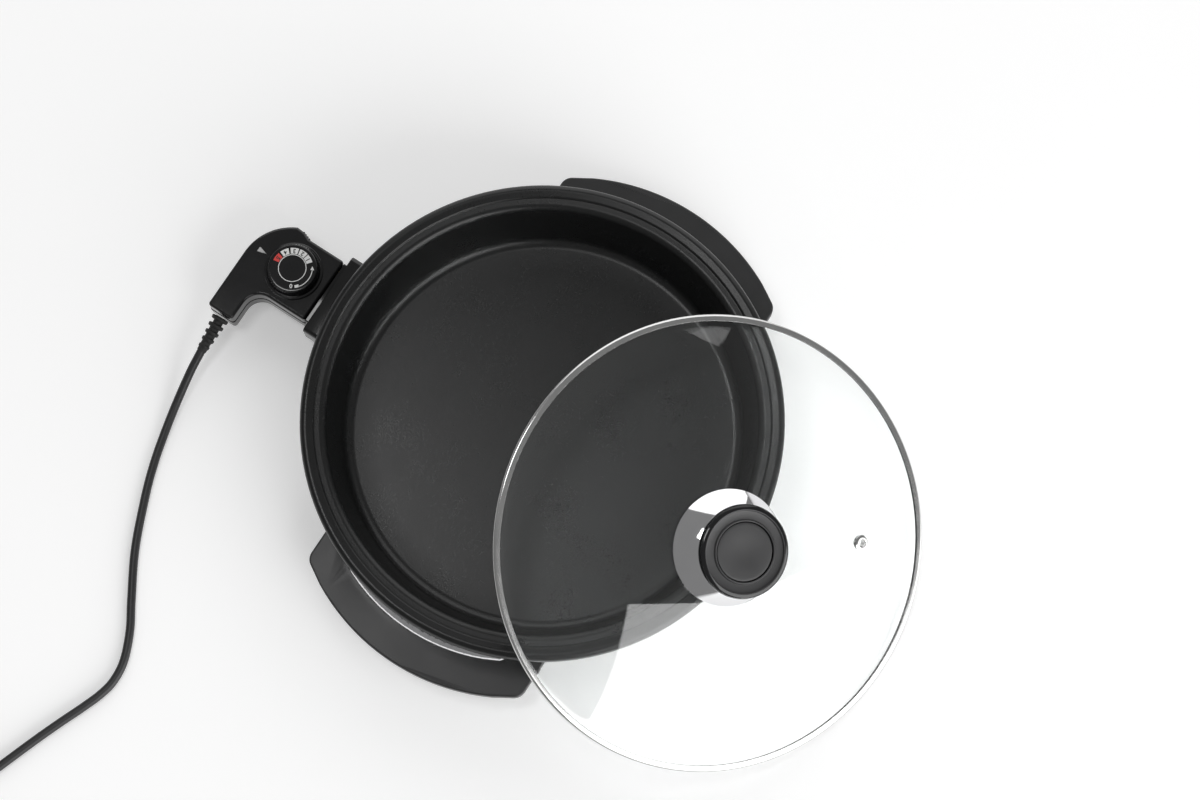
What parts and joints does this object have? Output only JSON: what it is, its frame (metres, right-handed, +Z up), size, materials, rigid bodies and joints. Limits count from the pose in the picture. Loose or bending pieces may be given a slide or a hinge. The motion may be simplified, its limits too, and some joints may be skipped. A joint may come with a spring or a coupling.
{
  "type": "electric party pan",
  "caption": "Round electric party pan with side handles, leaning glass lid with a chrome-based knob, and a plug-in thermostat control on a mains lead.",
  "frame": {"origin": "middle of the object's footprint on the table, without the mains lead", "axes": "+Z up; X along the two handles; -Y towards the control, +Y towards the leaning lid"},
  "size_m": [0.788, 0.7572, 0.1572],
  "materials": {
    "nonstick": "cast aluminium, black non-stick inside, gloss black outside",
    "phenolic": "satin black phenolic",
    "gloss_plastic": "polished black plastic",
    "rubber": "black moulded rubber",
    "cord_rubber": "dark grey cable sheath",
    "stainless": "bright stainless steel",
    "chrome": "polished chrome plate",
    "screw_steel": "zinc plated",
    "brass": "bare brass",
    "ceramic": "unglazed steatite",
    "element_steel": "dull heat-tinted steel sheath",
    "glass": "clear tempered glass",
    "silicone": "dark silicone",
    "lens": "light grey translucent lens",
    "lamp": "neon lamp",
    "switch": "brown moulded insulation"
  },
  "bodies": {
    "pan": {"pan_body": "nonstick", "heating_element": "element_steel", "terminal_pin_left": "screw_steel", "terminal_pin_right": "screw_steel", "terminal_insulator_left": "ceramic", "terminal_insulator_right": "ceramic", "inlet_shroud": "phenolic", "shroud_screw_left": "screw_steel", "shroud_screw_right": "screw_steel", "handle_left": "phenolic", "handle_right": "phenolic", "handle_bracket_left": "chrome", "handle_bracket_right": "chrome", "handle_screw_left_front": "screw_steel", "foot_pad_left_front": "rubber", "handle_screw_left_back": "screw_steel", "foot_pad_left_back": "rubber", "handle_screw_right_front": "screw_steel", "foot_pad_right_front": "rubber", "handle_screw_right_back": "screw_steel", "foot_pad_right_back": "rubber"},
    "lid": {"lid_rim": "stainless", "lid_glass": "glass", "vent_eyelet": "stainless", "knob_skirt": "chrome", "knob_grip": "phenolic", "knob_cap": "gloss_plastic", "knob_gasket": "silicone", "knob_washer": "stainless", "knob_screw": "screw_steel"},
    "control": {"control_base": "gloss_plastic", "control_cover": "gloss_plastic", "control_screw_left": "screw_steel", "control_screw_right": "screw_steel", "control_screw_grip": "screw_steel", "probe_tube": "stainless", "contact_sleeve_left": "brass", "contact_sleeve_right": "brass", "contact_carrier": "switch", "thermostat_switch": "switch", "pilot_lamp": "lamp", "pilot_lens": "lens", "cord_clamp": "switch", "strain_relief": "rubber", "power_cord": "cord_rubber", "cord_coil": "cord_rubber", "cord_tail": "cord_rubber", "cord_tie": "rubber", "mains_plug": "rubber", "mains_pin_left": "stainless", "mains_pin_right": "stainless"},
    "dial": {"control_dial": "gloss_plastic", "dial_spindle": "brass"}
  },
  "joints": [
    {"name": "lid_lift", "type": "slide", "parent": "pan", "child": "lid", "axis": [0, 0, 1], "range_m": [0, 0.25]},
    {"name": "control_pull", "type": "slide", "parent": "pan", "child": "control", "axis": [0, -1, 0], "range_m": [0, 0.1]},
    {"name": "dial_turn", "type": "hinge", "parent": "control", "child": "dial", "pos_m": [0, -0.2785, 0.047], "axis": [0, 0, 1], "range_deg": [0, 240]}
  ]
}
